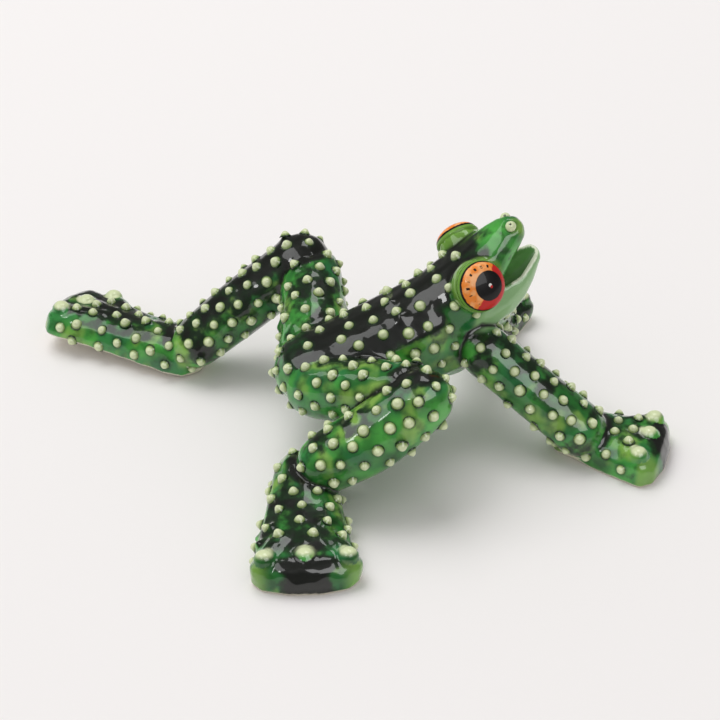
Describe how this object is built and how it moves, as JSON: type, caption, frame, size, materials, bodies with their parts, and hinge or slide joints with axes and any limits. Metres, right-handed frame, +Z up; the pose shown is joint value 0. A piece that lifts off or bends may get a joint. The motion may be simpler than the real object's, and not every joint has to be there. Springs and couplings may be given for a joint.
{
  "type": "glazed ceramic crawling frog figurine",
  "caption": "Hand-built glazed ceramic frog that crawls with its head raised, mouth open and legs splayed, covered in rows of raised slip dots.",
  "frame": {"origin": "on the floor plane, under the middle of the frog's overall box", "axes": "+X forward, the way the torso and the face point; +Y to the frog's left; +Z up from the floor"},
  "size_m": [0.1514, 0.1386, 0.0588],
  "materials": {
    "green_glaze": "glossy translucent glaze, bright yellow-green where thin and near black where pooled, with pale mint slip dots",
    "leaf_glaze": "glossy yellow-green glaze on the raised lids",
    "sage_glaze": "glossy pale sage glaze, greener inside the spoon of the jaw, with a near-white rim",
    "pale_slip": "pale mint slip pellets under a clear gloss glaze",
    "eye_glaze": "painted orange and red iris with dark brush dashes and a black pupil, under clear gloss glaze"
  },
  "bodies": {
    "root": {"head": "green_glaze", "left_arm": "green_glaze", "left_eye": "eye_glaze", "left_eyelid": "leaf_glaze", "left_hand": "green_glaze", "left_hand_toe_pad_1": "pale_slip", "left_hand_toe_pad_2": "pale_slip", "left_hand_toe_pad_3": "pale_slip", "left_hind_foot": "green_glaze", "left_hind_foot_toe_pad_1": "pale_slip", "left_hind_foot_toe_pad_2": "pale_slip", "left_hind_foot_toe_pad_3": "pale_slip", "left_nostril": "pale_slip", "left_shank": "green_glaze", "left_thigh": "green_glaze", "lower_jaw": "sage_glaze", "right_arm": "green_glaze", "right_eye": "eye_glaze", "right_eyelid": "leaf_glaze", "right_hand": "green_glaze", "right_hand_toe_pad_1": "pale_slip", "right_hand_toe_pad_2": "pale_slip", "right_hand_toe_pad_3": "pale_slip", "right_hind_foot": "green_glaze", "right_hind_foot_toe_pad_1": "pale_slip", "right_hind_foot_toe_pad_2": "pale_slip", "right_hind_foot_toe_pad_3": "pale_slip", "right_nostril": "pale_slip", "right_shank": "green_glaze", "right_thigh": "green_glaze", "torso": "green_glaze"}
  },
  "joints": []
}
